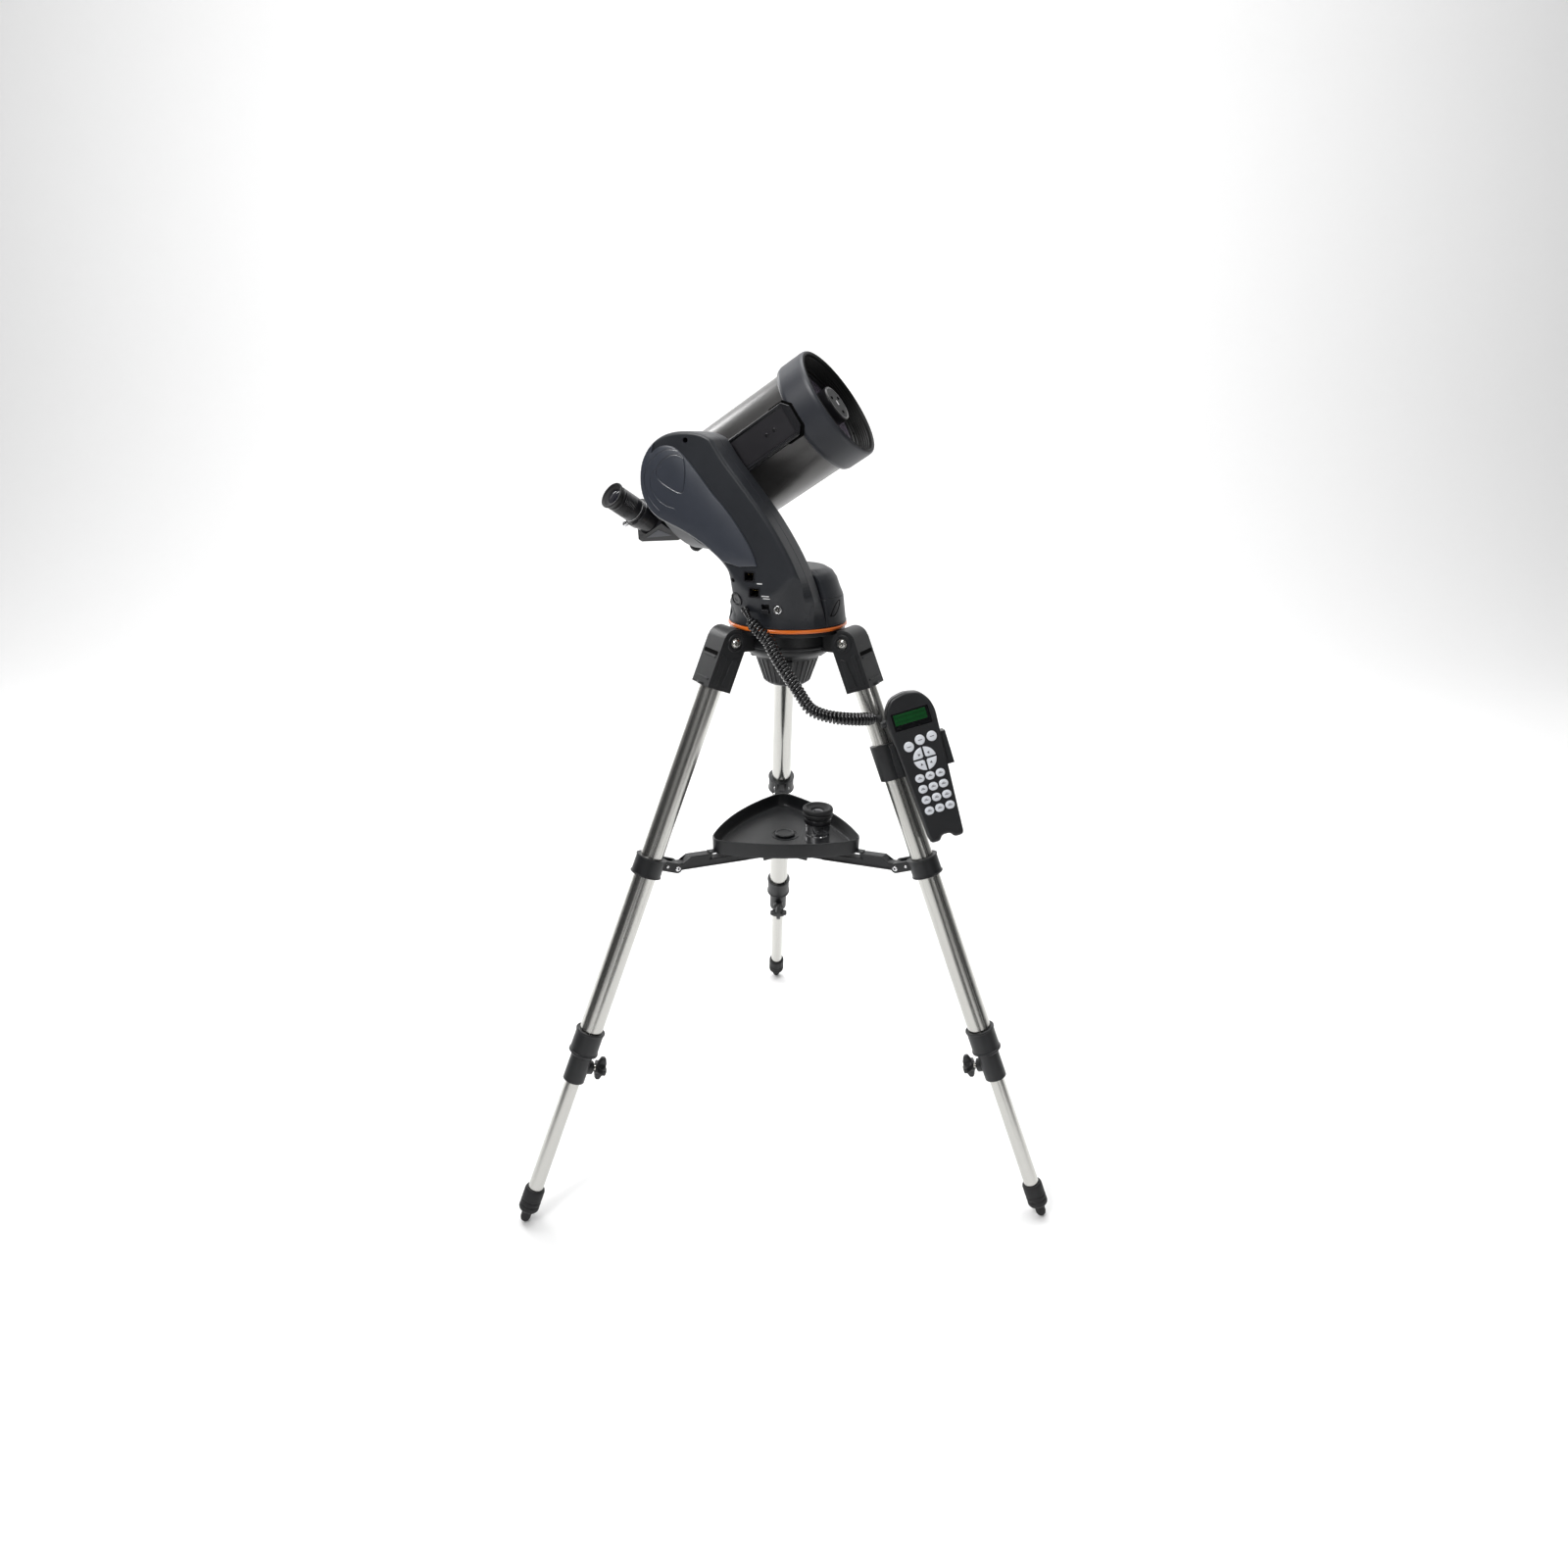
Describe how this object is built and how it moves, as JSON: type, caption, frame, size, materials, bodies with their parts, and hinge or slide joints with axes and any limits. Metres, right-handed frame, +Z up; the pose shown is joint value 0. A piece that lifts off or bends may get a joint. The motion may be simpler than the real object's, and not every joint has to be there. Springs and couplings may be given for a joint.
{
  "type": "schmidt cassegrain telescope",
  "caption": "Catadioptric telescope with star diagonal and eyepiece on a motorised single-arm alt-azimuth mount, folding tripod with tray, and a hand controller on a curly cord.",
  "frame": {"origin": "on the ground, at the centre of the bounding box of the object without its cord; the azimuth axis stands a quarter of the foot circle radius (89 mm) in front of it", "axes": "+Z up along the azimuth axis, -Y towards the front of the tripod where the arm, sockets and hand controller face, +Y towards the rear leg, +X to the right"},
  "size_m": [0.6342, 0.5525, 1.0369],
  "materials": {
    "tripod_plastic": "moulded, fine texture",
    "steel": "polished stainless",
    "rubber": "soft satin",
    "orange": "satin",
    "gear_brass": "machined",
    "shell": "fine moulded texture, satin",
    "trim": "satin lacquer",
    "tube_metal": "satin metallic paint",
    "ring_paint": "semi-gloss",
    "glass": "anti-reflection coated",
    "mirror": "aluminised",
    "board": "solder mask",
    "motor": "cast",
    "chrome": "polished",
    "black": "satin",
    "eyepiece_black": "anodised",
    "display": "green, glossy window",
    "keys": "white silicone",
    "handset": "matte with fine grain",
    "cord": "satin jacket"
  },
  "bodies": {
    "tripod": {"tripod_head": "tripod_plastic", "head_bolts": "chrome", "azimuth_base": "tripod_plastic", "azimuth_gear": "gear_brass", "accent_ring": "orange", "cord": "cord"},
    "mount": {"base_shell": "shell", "arm_outer_shell": "shell", "arm_trim_panel": "trim", "arm_inner_shell": "shell", "socket_panel": "black", "drive_gearboxes": "motor", "control_board": "board", "cord_plug": "cord"},
    "battery_cover": {"battery_cover": "shell"},
    "power_switch": {"power_switch": "black"},
    "optics": {"altitude_hub": "tripod_plastic", "dovetail_bar": "black", "optical_tube": "tube_metal", "front_ring": "ring_paint", "corrector_plate": "glass", "secondary_cell": "black", "baffle_tube": "black", "rear_cell": "ring_paint", "visual_back": "black"},
    "saddle_knob": {"saddle_knob": "black"},
    "focus_knob": {"focus_knob": "rubber"},
    "primary_mirror": {"primary_mirror": "mirror"},
    "back_screw": {"back_screw": "chrome"},
    "diagonal": {"diagonal_body": "black", "diagonal_prism": "glass"},
    "diagonal_screw": {"diagonal_screw": "chrome"},
    "eyepiece": {"eyepiece": "eyepiece_black"},
    "spreader": {"spreader_hub": "tripod_plastic"},
    "tray": {"accessory_tray": "tripod_plastic"},
    "tray_lock": {"tray_lock": "tripod_plastic"},
    "tray_eyepiece": {"tray_eyepiece": "eyepiece_black"},
    "keypad": {"keypad": "keys"},
    "arrow_pad": {"arrow_pad": "keys"},
    "leg_left": {"leg_fittings_left": "tripod_plastic", "leg_tube_left": "steel"},
    "clamp_knob_left": {"clamp_knob_left": "tripod_plastic"},
    "extension_left": {"leg_extension_left": "steel", "leg_foot_left": "rubber"},
    "arm_left": {"spreader_arm_left": "tripod_plastic"},
    "leg_right": {"leg_fittings_right": "tripod_plastic", "leg_tube_right": "steel", "handset_holder": "tripod_plastic", "handset_case": "handset", "handset_display": "display"},
    "clamp_knob_right": {"clamp_knob_right": "tripod_plastic"},
    "extension_right": {"leg_extension_right": "steel", "leg_foot_right": "rubber"},
    "arm_right": {"spreader_arm_right": "tripod_plastic"},
    "leg_back": {"leg_fittings_back": "tripod_plastic", "leg_tube_back": "steel"},
    "clamp_knob_back": {"clamp_knob_back": "tripod_plastic"},
    "extension_back": {"leg_extension_back": "steel", "leg_foot_back": "rubber"},
    "arm_back": {"spreader_arm_back": "tripod_plastic"}
  },
  "joints": [
    {"name": "leg_fold_left", "type": "hinge", "parent": "tripod", "child": "leg_left", "pos_m": [-0.07621, -0.133, 0.675], "axis": [0.5, -0.866, 0], "range_deg": [0, 6]},
    {"name": "spreader_arm_left_swing", "type": "hinge", "parent": "leg_left", "child": "arm_left", "pos_m": [-0.13937, -0.16947, 0.3972], "axis": [0.5, -0.866, 0], "range_deg": [0, 38.73]},
    {"name": "leg_extension_left_slide", "type": "slide", "parent": "leg_left", "child": "extension_left", "axis": [-0.322, -0.1859, -0.9283], "range_m": [-0.12, 0.15]},
    {"name": "clamp_knob_left_turn", "type": "hinge", "parent": "leg_left", "child": "clamp_knob_left", "pos_m": [-0.23838, -0.22663, 0.16722], "axis": [0.8039, 0.4641, -0.3719], "range_deg": [0, 180]},
    {"name": "leg_fold_right", "type": "hinge", "parent": "tripod", "child": "leg_right", "pos_m": [0.07621, -0.133, 0.675], "axis": [0.5, 0.866, 0], "range_deg": [0, 6]},
    {"name": "spreader_arm_right_swing", "type": "hinge", "parent": "leg_right", "child": "arm_right", "pos_m": [0.13937, -0.16947, 0.3972], "axis": [0.5, 0.866, 0], "range_deg": [0, 38.73]},
    {"name": "leg_extension_right_slide", "type": "slide", "parent": "leg_right", "child": "extension_right", "axis": [0.322, -0.1859, -0.9283], "range_m": [-0.12, 0.15]},
    {"name": "clamp_knob_right_turn", "type": "hinge", "parent": "leg_right", "child": "clamp_knob_right", "pos_m": [0.23838, -0.22663, 0.16722], "axis": [-0.8039, 0.4641, -0.3719], "range_deg": [0, 180]},
    {"name": "leg_fold_back", "type": "hinge", "parent": "tripod", "child": "leg_back", "pos_m": [0, -0.001, 0.675], "axis": [-1, 0, 0], "range_deg": [0, 6]},
    {"name": "spreader_arm_back_swing", "type": "hinge", "parent": "leg_back", "child": "arm_back", "pos_m": [0, 0.07194, 0.3972], "axis": [-1, 0, 0], "range_deg": [0, 38.73]},
    {"name": "leg_extension_back_slide", "type": "slide", "parent": "leg_back", "child": "extension_back", "axis": [0, 0.3719, -0.9283], "range_m": [-0.12, 0.15]},
    {"name": "clamp_knob_back_turn", "type": "hinge", "parent": "leg_back", "child": "clamp_knob_back", "pos_m": [0, 0.18626, 0.16722], "axis": [0, -0.9283, -0.3719], "range_deg": [0, 180]},
    {"name": "spreader_lift", "type": "slide", "parent": "tripod", "child": "spreader", "axis": [0, 0, 1], "range_m": [0, 0.08934]},
    {"name": "tray_lift", "type": "slide", "parent": "spreader", "child": "tray", "axis": [0, 0, 1], "range_m": [0, 0.012]},
    {"name": "tray_lock_turn", "type": "hinge", "parent": "tray", "child": "tray_lock", "pos_m": [0, -0.089, 0.401], "axis": [0, 0, 1], "range_deg": [0, 60]},
    {"name": "tray_eyepiece_lift", "type": "slide", "parent": "tray", "child": "tray_eyepiece", "axis": [0, 0, 1], "range_m": [0, 0.04]},
    {"name": "azimuth_turn", "type": "hinge", "parent": "tripod", "child": "mount", "pos_m": [0, -0.089, 0.684], "axis": [0, 0, 1], "range_deg": [-60, 60], "deforming": ["cord"]},
    {"name": "battery_cover_lift", "type": "slide", "parent": "mount", "child": "battery_cover", "axis": [0, 0, 1], "range_m": [0, 0.01]},
    {"name": "power_switch_slide", "type": "slide", "parent": "mount", "child": "power_switch", "axis": [0, 0, 1], "range_m": [0, 0.006]},
    {"name": "altitude_tilt", "type": "hinge", "parent": "mount", "child": "optics", "pos_m": [-0.07304, 0.00311, 0.874], "axis": [-0.4035, -0.915, 0], "range_deg": [-33.5, 56.5]},
    {"name": "saddle_knob_turn", "type": "hinge", "parent": "optics", "child": "saddle_knob", "pos_m": [-0.08508, -0.07891, 0.84064], "axis": [0.505, -0.2227, -0.8339], "range_deg": [0, 360]},
    {"name": "focus_turn", "type": "hinge", "parent": "optics", "child": "focus_knob", "pos_m": [-0.11494, 0.04563, 0.7821], "axis": [0.763, -0.3365, 0.5519], "range_deg": [-1800, 1800]},
    {"name": "mirror_slide", "type": "slide", "parent": "optics", "child": "primary_mirror", "axis": [0.763, -0.3365, 0.5519], "range_m": [-0.00377, 0.00377]},
    {"name": "back_screw_turn", "type": "hinge", "parent": "optics", "child": "back_screw", "pos_m": [-0.16882, 0.04535, 0.82869], "axis": [-0.505, 0.2227, 0.8339], "range_deg": [0, 360]},
    {"name": "diagonal_turn", "type": "hinge", "parent": "optics", "child": "diagonal", "pos_m": [-0.17795, 0.04938, 0.79811], "axis": [-0.763, 0.3365, -0.5519], "range_deg": [-30, 140]},
    {"name": "diagonal_screw_turn", "type": "hinge", "parent": "diagonal", "child": "diagonal_screw", "pos_m": [-0.21837, 0.03275, 0.80761], "axis": [-0.763, 0.3365, -0.5519], "range_deg": [0, 360]},
    {"name": "eyepiece_slide", "type": "slide", "parent": "diagonal", "child": "eyepiece", "axis": [-0.6289, -0.5839, 0.5134], "range_m": [0, 0.03]},
    {"name": "keypad_press", "type": "slide", "parent": "leg_right", "child": "keypad", "axis": [0.0311, 0.9821, -0.1859], "range_m": [0, 0.001], "stiffness_N_per_m": 200},
    {"name": "arrow_pad_press", "type": "slide", "parent": "leg_right", "child": "arrow_pad", "axis": [0.0311, 0.9821, -0.1859], "range_m": [0, 0.001], "stiffness_N_per_m": 200}
  ],
  "couplings": [
    {"joint": "spreader_arm_left_swing", "follows": "leg_fold_left", "ratio": 6.3712},
    {"joint": "leg_fold_right", "follows": "leg_fold_left", "ratio": 1},
    {"joint": "spreader_arm_right_swing", "follows": "leg_fold_left", "ratio": 6.3712},
    {"joint": "leg_fold_back", "follows": "leg_fold_left", "ratio": 1},
    {"joint": "spreader_arm_back_swing", "follows": "leg_fold_left", "ratio": 6.3712},
    {"joint": "spreader_lift", "follows": "leg_fold_left", "m_per_rad": 0.84363},
    {"joint": "focus_turn", "follows": "mirror_slide", "rad_per_m": 8333.1}
  ]
}
